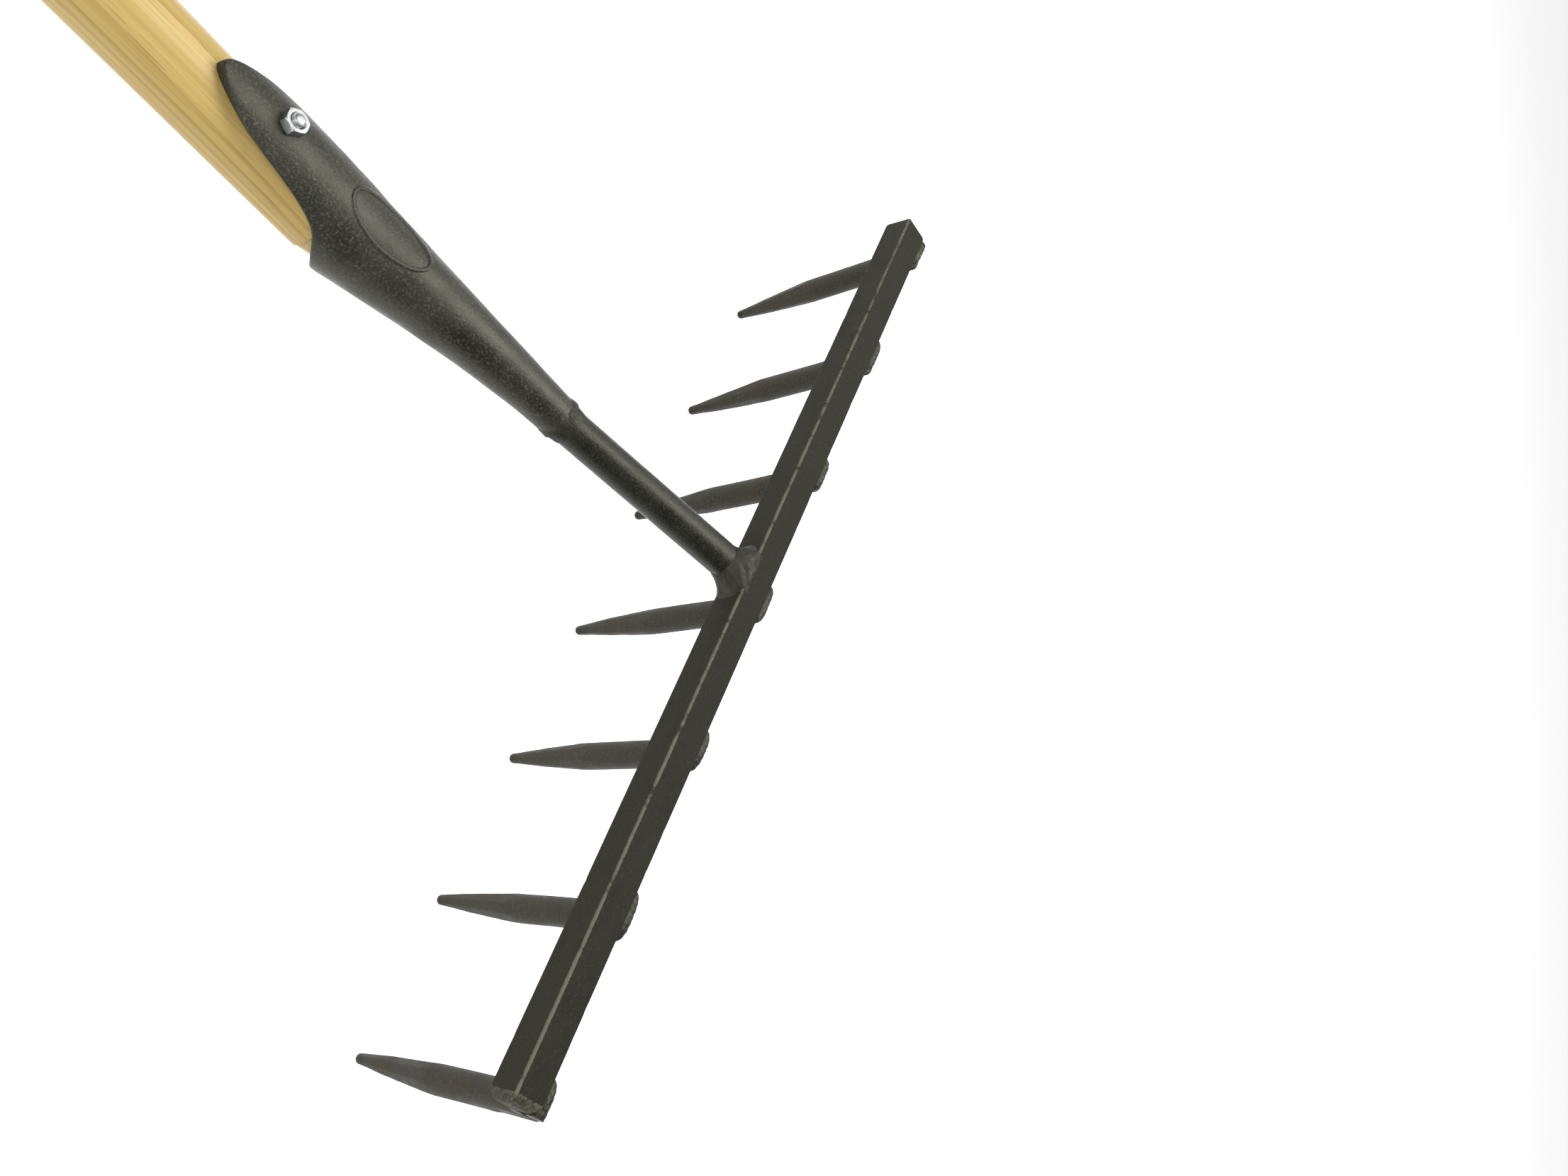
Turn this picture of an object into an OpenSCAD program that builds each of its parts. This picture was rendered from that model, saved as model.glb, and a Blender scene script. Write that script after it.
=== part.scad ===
// Seven-tine garden rake with a welded straight neck.
// The handle's axis is the X axis, its free end is at +X and the tines point down, to -Z.
// The origin is the centre of the hanging hole.

/* [Bar] */
// Side of the square bar
bar_side = 18; // [16:0.5:20]
// Centre-to-centre spacing of the tines
tine_pitch = 91; // [80:1:95]
// Bevel round each end of the bar
bar_bevel = 2.5; // [1:0.5:4]

/* [Tines] */
// Diameter of the tine rod
tine_d = 15; // [12:0.5:16]
// Height of a tine, from its tip to the underside of the bar
tine_reach = 152; // [130:1:180]
// Lean of the tines away from the handle, in degrees
tine_lean = 4; // [0:0.5:6]
// Length of the forged point, from its shoulder to the tip
point_l = 72; // [60:1:80]
// Radius of the rounded tip
tip_r = 2.6; // [2:0.1:3.5]

/* [Neck] */
// Diameter of the round neck
neck_d = 19; // [17:0.5:20]
// Distance along the handle from the bar's middle to the seam at the socket
neck_run = 134; // [120:1:150]
// Drop of the neck between the bar and the seam
neck_drop = 20; // [10:1:26]

/* [Socket] */
// Length of the socket, from the seam to its lower lip
socket_l = 127; // [110:1:135]
// Length of the socket, from the seam to the tip of its tongue
tongue_l = 212; // [200:1:220]
// Diameter of the socket at the seam
socket_neck_d = 21; // [20:0.5:24]
// Diameter of the socket at its lip
socket_mouth_d = 44.5; // [43:0.5:46]
// Turn of the socket about the handle, in degrees
socket_turn = 7; // [0:1:20]

/* [Handle] */
// Diameter of the handle
handle_d = 37.5; // [37:0.5:38]
// Length of the handle
handle_l = 1220; // [1000:10:1500]
// Diameter of the hanging hole
hang_hole_d = 12; // [8:0.5:14]

/* [Bolt] */
// Thread diameter of the coach bolt
bolt_d = 6; // [5:0.5:6]
// Distance from the seam to the bolt
bolt_at = 179; // [172:1:184]

/* [Hidden] */
$fn = 64;
eps = 0.01;
tine_count = 7;
tine_names = [for (i = [1:tine_count]) str("tine_", i)];
weld_names = [for (i = [1:tine_count]) str("tine_weld_", i)];

// colours
ash = [0.80, 0.66, 0.44];
black_steel = [0.20, 0.20, 0.18];
dark_rod = [0.24, 0.22, 0.20];
weld_grey = [0.42, 0.41, 0.38];
zinc = [0.72, 0.73, 0.74];

// handle: a cylinder with a domed end, and a one-sided taper that fills the socket
handle_r = handle_d / 2;
hang_inset = 19;                        // hanging hole's centre to the top of the dome
hang_chamfer = 1.2;
dome_h = 10.5;
dome_r = (handle_r^2 + dome_h^2) / (2 * dome_h);
taper_l = 91;                           // tapered length of the handle
taper_end_r = 8.5;
taper_top_r = handle_r - 0.5;           // leaves a small shoulder under the full diameter
taper_end_rise = 12;                    // the small end's centre sits this far off the axis
taper_tilt = atan(taper_end_rise / taper_l);
seat_gap = 50;                          // seam to the bottom of the socket's bore
seam_x = hang_inset - handle_l - seat_gap;
shoulder_x = seam_x + seat_gap + taper_l;
shaft_l = hang_inset - shoulder_x;      // full-diameter length, with the dome
dome_angle = asin(handle_r / dome_r);
dome_arc = [for (i = [0:12]) let (a = dome_angle * (1 - i / 12))
    [dome_r * sin(a), shaft_l - dome_r + dome_r * cos(a)]];
shaft_outline = concat([[0, 0], [handle_r, 0]], dome_arc);

// socket: its small end sits off the handle's axis, and the tongue lies on the handle
socket_rise = 17.3;                     // centre of the small end, off the handle's axis
lip_rise = 2.9;                         // centre of the lip, off the handle's axis
tongue_rise = 2.6;                      // centre of the tongue's back, off the handle's axis
tongue_r = 23.6;                        // radius of the tongue's back
tip_rise = 1.6;
tip_back_r = 22.2;
scarf_w = 60;                           // wider than the socket, for the cut across it
ring_sides = 40;                        // sides of each section of the socket
span_steps = 6;                         // sections in each of the socket's two spans

// bolt, square neck, head and nut
nut_af = 10;
nut_h = 5;
nut_seat = 25.2;                        // height of the nut's seat above the handle's axis
spot_d = 13;
bolt_clear = 0.4;
bolt_tail = 2;                          // thread that stands out of the nut
head_d = 16;
head_h = 3.6;
head_r = (head_d^2 / 4 + head_h^2) / (2 * head_h);
head_sink = 1.8;                        // depth that the head is drawn into the wood
head_seat = handle_r - head_sink;
square_l = 4;

// head: the bar's middle, in the handle's frame
bar_half = bar_side / 2;
bar_offset = 5;                         // bar's middle, to the side of the neck's axis
bar_l = (tine_count - 1) * tine_pitch + tine_d - 2;
seam_y = -socket_rise * sin(socket_turn);
seam_z = socket_rise * cos(socket_turn);
bar_x = seam_x - neck_run;
bar_y = seam_y + bar_offset;
bar_z = seam_z + neck_drop;
neck_tilt = atan(neck_drop / neck_run);
neck_r = neck_d / 2;
neck_l = neck_run / cos(neck_tilt);

// tines: rods against the bar's back face, their tops a little below its middle
tine_r = tine_d / 2;
tine_top = 2.7;                         // top of the rod, below the bar's middle
tine_l = (tine_reach + bar_half) / cos(tine_lean) - tine_top;
tine_x = bar_x - bar_half - tine_r - 0.4;
top_chamfer = 2.5;
break_at = 0.44 * point_l;              // second facet of the point, from the tip
break_r = 5.3;

// welds
bead_r = 5;
bead_l = 25;
bead_back = 4.5;                        // bead's centre, behind the bar's back face
bead_up = 0.7;                          // bead's centre, above the bar's middle
root_r = 4.2;
root_l = 20;
fillet_foot = 8;
fillet_h = 9;
ring_half = 7;
ring_proud = 1.5;

// A point of the cubic Bezier curve with control points p
function bezier(p, t) =
    (1 - t)^3 * p[0] + 3 * (1 - t)^2 * t * p[1] + 3 * (1 - t) * t^2 * p[2] + t^3 * p[3];

// Points of the curve from t = 0 to 1 in n steps
function bezier_points(p, n) = [for (i = [0:n]) bezier(p, i / n)];

// The socket's sections: distance from the seam, height of the centre off the handle's axis, radius
lip_section = [socket_l, lip_rise, socket_mouth_d / 2];
cone_span = bezier_points([[0, socket_rise, socket_neck_d / 2], [0.27 * socket_l, 16.1, 11.8],
                           [0.6 * socket_l, 11.3, 15.7], lip_section], span_steps);
tongue_span = bezier_points([lip_section, [socket_l + 15, 1.9, 23.9],
                             [tongue_l - 27, tongue_rise, tongue_r],
                             [tongue_l + 3, tip_rise, tip_back_r]], span_steps);
socket_sections = concat(cone_span, [for (i = [1:span_steps]) tongue_span[i]]);

// The edge that the tongue is cut to, seen from the side: distance from the seam, height
lip_corner = [socket_l + 15, 8.6];
scarf_lip = bezier_points([[socket_l - 1, -26], [socket_l + 2, -12], [socket_l + 7, -2], lip_corner], 8);
scarf_knee = [tongue_l - 25, 19.8];
scarf_tongue = bezier_points([lip_corner, [socket_l + 22, 17.8], [tongue_l - 37, 17.8], scarf_knee], 9);
scarf_tip = bezier_points([scarf_knee, [tongue_l - 17, 21], [tongue_l - 9, 23.5],
                           [tongue_l + 2, tip_rise + tip_back_r + 0.3]], 9);

// Places children in the socket's own frame: X along the handle from the seam, Z to the tongue
module in_socket() {
    translate([seam_x, 0, 0]) rotate([socket_turn, 0, 0]) children();
}

// The handle's tapered end, which runs a little way into its full diameter
module taper() {
    overlap = 4;
    translate([seat_gap, 0, taper_end_rise]) rotate([0, 90 + taper_tilt, 0])
        cylinder(h = (taper_l + overlap) / cos(taper_tilt), r1 = taper_end_r, r2 = taper_top_r);
}

// The socket's outside, before its bore and its scarfed edge are cut: rings joined by flat faces
module socket_form() {
    n = ring_sides;
    last = len(socket_sections) - 1;
    points = [for (c = socket_sections, k = [0:n - 1])
        [c[0], c[2] * sin(360 * k / n), c[1] + c[2] * cos(360 * k / n)]];
    sides = [for (j = [0:last - 1], k = [0:n - 1])
        [j * n + k, j * n + (k + 1) % n, (j + 1) * n + (k + 1) % n, (j + 1) * n + k]];
    ends = [[for (k = [n - 1:-1:0]) k], [for (k = [0:n - 1]) last * n + k]];
    polyhedron(points, concat(sides, ends));
}

// Hole for the bolt across the handle and the tongue
module bolt_hole() {
    translate([bolt_at, 0, -40]) cylinder(h = 80, d = bolt_d + bolt_clear);
}

module handle() {
    color(ash) difference() {
        union() {
            in_socket() taper();
            translate([shoulder_x, 0, 0]) rotate([0, 90, 0]) rotate_extrude() polygon(shaft_outline);
        }
        translate([0, 0, -handle_d]) cylinder(h = 2 * handle_d, d = hang_hole_d);
        for (side = [0, 180])
            rotate([side, 0, 0]) translate([0, 0, handle_r - hang_chamfer - 1.5])
                cylinder(h = hang_chamfer + 2.5, r1 = hang_hole_d / 2 - 1, r2 = hang_hole_d / 2 + 2.6);
        in_socket() {
            bolt_hole();
            translate([bolt_at, 0, -handle_d]) cylinder(h = handle_d - head_seat, d = head_d + 0.4);
            translate([bolt_at, 0, -head_seat + square_l / 2])
                cube([bolt_d + 0.2, bolt_d + 0.2, square_l + eps], center = true);
        }
    }
}

module socket() {
    color(black_steel) in_socket() difference() {
        intersection() {
            socket_form();
            rotate([90, 0, 0]) linear_extrude(height = scarf_w, center = true)
                polygon(concat([[-5, 40], [-5, -26]], scarf_lip, scarf_tongue, scarf_tip,
                               [[tongue_l + 2, 40]]));
        }
        taper();
        translate([shoulder_x - seam_x, 0, 0]) rotate([0, 90, 0]) cylinder(h = tongue_l, r = handle_r);
        bolt_hole();
        translate([bolt_at, 0, nut_seat]) cylinder(h = 20, d = spot_d);
    }
}

module bolt() {
    color(zinc) in_socket() translate([bolt_at, 0, 0]) {
        translate([0, 0, -head_seat]) cylinder(h = head_seat + nut_seat + nut_h + bolt_tail - 1, d = bolt_d);
        translate([0, 0, nut_seat + nut_h + bolt_tail - 1])
            cylinder(h = 1, d1 = bolt_d, d2 = bolt_d - 2);
        translate([0, 0, -head_seat + square_l / 2]) cube([bolt_d, bolt_d, square_l], center = true);
        intersection() {
            translate([0, 0, -head_seat - head_h + head_r]) sphere(r = head_r);
            translate([0, 0, -head_seat - head_h]) cylinder(h = head_h, d = head_d);
        }
    }
}

module nut() {
    across_corners = nut_af / cos(30);
    color(zinc) in_socket() translate([bolt_at, 0, nut_seat]) difference() {
        intersection() {
            cylinder(h = nut_h, d = across_corners, $fn = 6);
            translate([0, 0, -1]) cylinder(h = nut_h + 1, r1 = across_corners / 2 + 2.4,
                                           r2 = nut_af / 2 + 0.4, $fn = 64);
        }
        translate([0, 0, -1]) cylinder(h = nut_h + 2, d = bolt_d);
    }
}

// Solid rod on the neck's axis, from the seam towards the bar
module neck_rod(l, r) {
    translate([seam_x, seam_y, seam_z]) rotate([0, neck_tilt - 90, 0]) cylinder(h = l, r = r);
}

module neck() {
    color(black_steel) difference() {
        neck_rod(neck_l, neck_r);
        translate([bar_x - 50 + bar_half, 0, bar_z]) cube([100, 200, 200], center = true);
        past_seam();
    }
}

// The space past the seam, where the socket is, for trimming the neck and its weld
module past_seam() {
    translate([seam_x, -50, -50]) cube([100, 100, 100]);
}

module neck_weld() {
    arc = [for (i = [0:8]) let (s = -1 + i / 4) [neck_r + ring_proud * (1 - s * s) + 0.3, s * ring_half]];
    color(weld_grey) difference() {
        translate([seam_x, seam_y, seam_z]) rotate([0, -90, 0])
            rotate_extrude() polygon(concat([[neck_r - 4, -ring_half]], arc, [[neck_r - 4, ring_half]]));
        neck_rod(neck_l, neck_r);
        in_socket() socket_form();
    }
}

module bar() {
    long = bar_l / 2;
    b = bar_bevel;
    outline = [[-long + b, -bar_half], [long - b, -bar_half], [long, -bar_half + b], [long, bar_half - b],
               [long - b, bar_half], [-long + b, bar_half], [-long, bar_half - b], [-long, -bar_half + b]];
    color(black_steel) translate([bar_x, bar_y, bar_z]) intersection() {
        rotate([90, 0, 90]) linear_extrude(height = bar_side, center = true) polygon(outline);
        rotate([0, 0, 90]) linear_extrude(height = bar_side, center = true) polygon(outline);
    }
}

module bar_weld() {
    color(weld_grey) difference() {
        intersection() {
            translate([bar_x + bar_half, seam_y, bar_z - bar_half * tan(neck_tilt)]) rotate([0, 90, 0])
                rotate_extrude() polygon([[0, 0], [neck_r + fillet_foot, 0],
                                          [neck_r + fillet_foot - 1, 1.2], [neck_r + 2.6, 4],
                                          [neck_r + 0.8, fillet_h], [0, fillet_h]]);
            translate([bar_x, seam_y, bar_z]) cube([100, 100, bar_side], center = true);
        }
        neck_rod(neck_l, neck_r);
    }
}

// Frame of tine i: the origin on the rod's axis at the bar's middle, -Z along the rod
module at_tine(i) {
    translate([tine_x, bar_y + (i - (tine_count + 1) / 2) * tine_pitch, bar_z])
        rotate([0, tine_lean, 0]) children();
}

module tine(i) {
    profile = [[0, -tine_top], [tine_r - top_chamfer, -tine_top], [tine_r, -tine_top - top_chamfer],
               [tine_r, -tine_top - tine_l + point_l], [break_r, -tine_top - tine_l + break_at],
               [tip_r, -tine_top - tine_l + tip_r], [0, -tine_top - tine_l + tip_r]];
    color(dark_rod) intersection() {
        at_tine(i) union() {
            rotate_extrude() polygon(profile);
            translate([0, 0, -tine_top - tine_l + tip_r]) sphere(r = tip_r);
        }
        union() {
            translate([tine_x - 60, bar_y - bar_l / 2, bar_z - 30]) cube([120, bar_l, 60]);
            translate([tine_x - 60, bar_y - bar_l / 2 - 20, bar_z - 260]) cube([120, bar_l + 40, 230]);
        }
    }
}

// A round-ended bead along Y
module bead(l, r) {
    rotate([90, 0, 0]) cylinder(h = l - 2 * r, r = r, center = true);
    for (side = [-1, 1]) translate([0, side * (l / 2 - r), 0]) sphere(r = r);
}

module tine_weld(i) {
    y = bar_y + (i - (tine_count + 1) / 2) * tine_pitch;
    color(weld_grey) difference() {
        intersection() {
            union() {
                translate([bar_x - bar_half - bead_back, y, bar_z + bead_up]) bead(bead_l, bead_r);
                translate([bar_x - bar_half + 2, y, bar_z - bar_half - 1]) bead(root_l, root_r);
                translate([bar_x - bar_half - 2.5, y, bar_z - bar_half / 2])
                    cube([5, tine_d + 5, bar_half], center = true);
            }
            translate([bar_x - 40, bar_y - bar_l / 2, bar_z - 40]) cube([80, bar_l, 80]);
        }
        translate([bar_x, bar_y, bar_z]) cube([bar_side, bar_l + 1, bar_side], center = true);
        at_tine(i) translate([0, 0, -tine_top - 60]) {
            cylinder(h = 60 - top_chamfer, r = tine_r);
            translate([0, 0, 60 - top_chamfer])
                cylinder(h = top_chamfer, r1 = tine_r, r2 = tine_r - top_chamfer);
        }
    }
}

handle();
socket();
bolt();
nut();
neck();
neck_weld();
bar();
bar_weld();
for (i = [1:tine_count]) {
    tine(i);
    tine_weld(i);
}
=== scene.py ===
import math
import random

import bmesh
import bpy
from mathutils import Matrix, Vector, noise


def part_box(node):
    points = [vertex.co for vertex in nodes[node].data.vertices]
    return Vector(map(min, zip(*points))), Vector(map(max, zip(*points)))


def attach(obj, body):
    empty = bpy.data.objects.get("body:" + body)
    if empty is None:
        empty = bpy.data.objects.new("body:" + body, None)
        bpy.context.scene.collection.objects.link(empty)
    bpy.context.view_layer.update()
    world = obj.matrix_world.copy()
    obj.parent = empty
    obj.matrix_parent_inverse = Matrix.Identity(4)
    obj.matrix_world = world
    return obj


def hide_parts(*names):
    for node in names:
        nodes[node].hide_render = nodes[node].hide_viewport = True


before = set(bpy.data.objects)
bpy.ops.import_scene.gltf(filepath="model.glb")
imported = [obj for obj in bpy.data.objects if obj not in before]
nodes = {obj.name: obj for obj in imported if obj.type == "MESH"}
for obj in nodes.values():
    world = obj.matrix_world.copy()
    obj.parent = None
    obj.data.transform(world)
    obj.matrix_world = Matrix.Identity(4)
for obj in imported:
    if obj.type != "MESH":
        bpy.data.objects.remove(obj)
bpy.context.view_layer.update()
MM = 0.001
FULL_TURN = 2 * math.pi

# ---------------------------------------------------------------- sizes, from the frame
BAR_LO, BAR_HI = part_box("bar")
BAR_MID = (BAR_LO + BAR_HI) / 2
BAR_HALF = (BAR_HI.x - BAR_LO.x) / 2     # half the bar's side
BAR_LONG = (BAR_HI.y - BAR_LO.y) / 2     # half the bar's length
BAR_BACK = BAR_MID.x - BAR_HALF
BAR_FRONT = BAR_MID.x + BAR_HALF

HANDLE_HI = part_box("handle")[1]
HANDLE_R = HANDLE_HI.y
SEAM_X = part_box("socket")[0].x           # seam between the neck and the socket
NECK_LO, NECK_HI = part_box("neck")
NECK_R = (NECK_HI.y - NECK_LO.y) / 2
NECK_Y = (NECK_HI.y + NECK_LO.y) / 2
NUT_LO, NUT_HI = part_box("nut")
NUT_MID = (NUT_LO + NUT_HI) / 2

SOCKET_RISE = 17.3 * MM                  # centre of the socket's small end, off the handle's axis
SOCKET_TURN = math.asin(-NECK_Y / SOCKET_RISE)
SEAM_Z = SOCKET_RISE * math.cos(SOCKET_TURN)
NECK_TILT = math.atan((BAR_MID.z - SEAM_Z) / (SEAM_X - BAR_MID.x))

TINE_COUNT = sum(name.startswith("tine_") and "weld" not in name for name in nodes)
TINE_PITCH = (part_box("tine_5")[0].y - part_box("tine_3")[0].y) / 2      # they stand two pitches apart


# ---------------------------------------------------------------- mesh helpers
def make_object(name, points, faces, wear=None):
    """Smooth-shaded object on the root body; 'wear' says how far the coating is worn at each point, and on
    the bar also where a highlight is painted.
    """
    mesh = bpy.data.meshes.new(name)
    mesh.from_pydata([tuple(p) for p in points], [], faces)
    mesh.validate()
    shell = bmesh.new()
    shell.from_mesh(mesh)
    bmesh.ops.recalc_face_normals(shell, faces=shell.faces)
    shell.to_mesh(mesh)
    shell.free()
    obj = bpy.data.objects.new(name, mesh)
    bpy.context.scene.collection.objects.link(obj)
    for polygon in mesh.polygons:
        polygon.use_smooth = True
    if wear is not None:
        mesh.attributes.new("wear", "FLOAT", "POINT").data.foreach_set("value", wear)
    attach(obj, "root")
    return obj


def rings_to_faces(rings, sides, cap_start=True, cap_end=True, base=0):
    """Quads between successive closed rings of points, the first of which is point number base."""
    faces = []
    for j in range(rings - 1):
        for k in range(sides):
            a, b = base + j * sides + k, base + j * sides + (k + 1) % sides
            faces.append((a, b, b + sides, a + sides))
    if cap_start:
        faces.append(tuple(base + k for k in reversed(range(sides))))
    if cap_end:
        last = base + (rings - 1) * sides
        faces.append(tuple(last + k for k in range(sides)))
    return faces


def round_angles(sides):
    return [FULL_TURN * k / sides for k in range(sides)]


def split_edges(obj, degrees):
    """Keeps the edges sharp that turn by more than this."""
    obj.modifiers.new("edges", "EDGE_SPLIT").split_angle = math.radians(degrees)


def clamp(value, low=0.0, high=1.0):
    return max(low, min(high, value))


def clamp_along_bar(p, limit):
    """Moves a point back that is more than limit from the bar's middle, and says whether it did."""
    if abs(p.y - BAR_MID.y) <= limit:
        return False
    p.y = BAR_MID.y + math.copysign(limit, p.y - BAR_MID.y)
    return True


def bezier(p, t):
    s = 1 - t
    return [s ** 3 * a + 3 * s * s * t * b + 3 * s * t * t * c + t ** 3 * d for a, b, c, d in zip(*p)]


def curve(control, steps, first=0):
    """Points of a cubic Bezier curve, from step number first to its end."""
    return [bezier(control, i / steps) for i in range(first, steps + 1)]


def lerp_table(table, x):
    """Value at x of a list of (x, value) with rising x."""
    if x <= table[0][0]:
        return table[0][1]
    for (x0, y0), (x1, y1) in zip(table, table[1:]):
        if x <= x1:
            return y0 + (y1 - y0) * (x - x0) / (x1 - x0)
    return table[-1][1]


def wobble(p, scale, seed=0.0):
    """Smooth noise from -1 to 1 at a point in metres; scale is its size in mm."""
    return noise.noise(Vector(p) / (scale * MM) + Vector((seed, seed * 1.7, -seed)))


def layered(p, layers):
    """Sum of smooth noises at a point in metres, each given as (strength, size in mm, seed)."""
    return sum(strength * wobble(p, size, seed) for strength, size, seed in layers)


# ---------------------------------------------------------------- material helpers
LACQUER_ROUGHNESS = 0.25


class Nodes:
    """Builds a material's node tree with short calls."""

    def __init__(self, name):
        self.material = bpy.data.materials.new(name)
        self.material.use_nodes = True
        self.tree = self.material.node_tree
        self.tree.nodes.clear()
        self.shader = self.add("ShaderNodeBsdfPrincipled")
        self.link(self.shader.outputs["BSDF"], self.add("ShaderNodeOutputMaterial").inputs["Surface"])

    def add(self, kind, **settings):
        node = self.tree.nodes.new(kind)
        for key, value in settings.items():
            setattr(node, key, value)
        return node

    def link(self, a, b):
        self.tree.links.new(a, b)

    def feed(self, socket, value):
        """Links a node's output to a socket, or sets the socket to a plain value."""
        if isinstance(value, bpy.types.NodeSocket):
            self.link(value, socket)
        else:
            socket.default_value = value

    def coords(self):
        return self.add("ShaderNodeTexCoord").outputs["Object"]

    def facing(self):
        return self.add("ShaderNodeNewGeometry").outputs["Normal"]

    def mask(self, name):
        return self.add("ShaderNodeAttribute", attribute_name=name).outputs["Fac"]

    def mapped(self, vector, location=(0, 0, 0), rotation=(0, 0, 0), scale=(1, 1, 1)):
        node = self.add("ShaderNodeMapping")
        self.link(vector, node.inputs["Vector"])
        node.inputs["Location"].default_value = location
        node.inputs["Rotation"].default_value = rotation
        node.inputs["Scale"].default_value = scale
        return node.outputs["Vector"]

    def split(self, vector):
        """A vector's three components."""
        node = self.add("ShaderNodeSeparateXYZ")
        self.link(vector, node.inputs[0])
        return node.outputs

    def noise(self, vector, scale, detail, roughness):
        """Cloudy noise; scale is the number of clouds in a metre."""
        node = self.add("ShaderNodeTexNoise")
        self.link(vector, node.inputs["Vector"])
        node.inputs["Scale"].default_value = scale
        node.inputs["Detail"].default_value = detail
        node.inputs["Roughness"].default_value = roughness
        return node.outputs["Fac"]

    def cells(self, vector, scale):
        """Distance to the nearest of many scattered points; scale is their number along a metre."""
        node = self.add("ShaderNodeTexVoronoi")
        self.link(vector, node.inputs["Vector"])
        node.inputs["Scale"].default_value = scale
        return node.outputs["Distance"]

    def math(self, operation, a, b=0.0):
        node = self.add("ShaderNodeMath", operation=operation)
        self.feed(node.inputs[0], a)
        self.feed(node.inputs[1], b)
        return node.outputs[0]

    def plus(self, a, b):
        return self.math("ADD", a, b)

    def minus(self, a, b):
        return self.math("SUBTRACT", a, b)

    def times(self, a, b):
        return self.math("MULTIPLY", a, b)

    def between(self, value, low, high, out_low=0.0, out_high=1.0):
        """Maps low..high on to out_low..out_high, smoothly and clamped."""
        node = self.add("ShaderNodeMapRange", interpolation_type="SMOOTHSTEP")
        self.link(value, node.inputs["Value"])
        limits = {"From Min": low, "From Max": high, "To Min": out_low, "To Max": out_high}
        for name, number in limits.items():
            node.inputs[name].default_value = number
        return node.outputs["Result"]

    def mix(self, factor, a, b):
        """Colour a where the factor is 0, and b where it is 1."""
        node = self.add("ShaderNodeMix", data_type="RGBA")
        self.feed(node.inputs[0], factor)
        for socket, value in ((node.inputs[6], a), (node.inputs[7], b)):
            self.feed(socket, (*value, 1.0) if isinstance(value, tuple) else value)
        return node.outputs[2]

    def bump(self, height, strength, distance):
        node = self.add("ShaderNodeBump")
        self.link(height, node.inputs["Height"])
        node.inputs["Strength"].default_value = strength
        node.inputs["Distance"].default_value = distance
        return node.outputs["Normal"]

    def finish(self, color, roughness, normal=None, metallic=0.0, specular=0.5, coat=0.0,
               tint=(1, 1, 1), glow=0.0):
        inputs = self.shader.inputs
        self.feed(inputs["Base Color"], color)
        self.feed(inputs["Roughness"], roughness)
        inputs["Metallic"].default_value = metallic
        inputs["Specular IOR Level"].default_value = specular
        inputs["Specular Tint"].default_value = (*tint, 1)
        inputs["Coat Weight"].default_value = coat
        inputs["Coat Roughness"].default_value = LACQUER_ROUGHNESS
        inputs["Emission Color"].default_value = (1, 1, 1, 1)
        inputs["Emission Strength"].default_value = glow
        if normal is not None:
            self.link(normal, inputs["Normal"])
        return self.material


def srgb(hex_color):
    """Linear colour of a six-digit hex one."""
    out = []
    for i in (0, 2, 4):
        c = int(hex_color[i:i + 2], 16) / 255
        out.append(c / 12.92 if c <= 0.04045 else ((c + 0.055) / 1.055) ** 2.4)
    return tuple(out)


# ---------------------------------------------------------------- materials
OLIVE = (1.0, 0.99, 0.80)                # tint of what the coated steel reflects
RING_WIDTH = 3.4 * MM                    # one year's growth
RING_WANDER = 22 * MM                    # how far the rings bend from true circles
PITH_AWAY = (0, 36 * MM, 58 * MM)        # how far the tree's middle lies from the handle
PITH_TURN = (0.0, math.radians(1.1), math.radians(0.9))


def ash_wood():
    """Sanded ash: growth rings cut into long bands, with pores as dark dashes along the grain."""
    m = Nodes("ash_wood")
    p = m.coords()
    # rings round the pith, which lies off to one side and runs at a slight angle to the handle
    bend = m.noise(m.mapped(p, scale=(1.6, 9, 9)), 1.0, 3.0, 0.5)
    _, y, z = m.split(m.mapped(p, location=PITH_AWAY, rotation=PITH_TURN))
    radius = m.math("SQRT", m.plus(m.times(y, y), m.times(z, z)))
    radius = m.plus(radius, m.times(m.minus(bend, 0.5), RING_WANDER))
    ring = m.math("FRACT", m.times(radius, 1 / RING_WIDTH))
    late = m.times(m.between(ring, 0.40, 0.95), m.between(ring, 0.97, 1.0, 1.0, 0.0))
    # the pores are mostly in the early wood
    dash = m.noise(m.mapped(p, scale=(26, 1100, 1100)), 1.0, 2.0, 0.6)
    pore = m.times(m.between(dash, 0.54, 0.66), m.between(ring, 0.35, 0.0, 0.30, 1.0))
    streak = m.noise(m.mapped(p, scale=(4, 300, 300)), 1.0, 4.0, 0.6)
    broad = m.noise(m.mapped(p, scale=(2.2, 30, 30)), 1.0, 3.0, 0.5)
    color = m.mix(late, srgb("ad9454"), srgb("95793e"))
    color = m.mix(m.between(streak, 0.35, 0.75, 0.0, 0.60), color, srgb("876a30"))
    color = m.mix(m.between(broad, 0.40, 0.70, 0.0, 0.40), color, srgb("b9a161"))
    color = m.mix(m.times(pore, 0.70), color, srgb("664a1f"))
    normal = m.bump(m.minus(m.times(streak, 0.4), pore), 0.30, 0.3 * MM)
    return m.finish(color, m.between(streak, 0.3, 0.8, 0.42, 0.58), normal, specular=0.35, coat=0.05)


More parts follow.
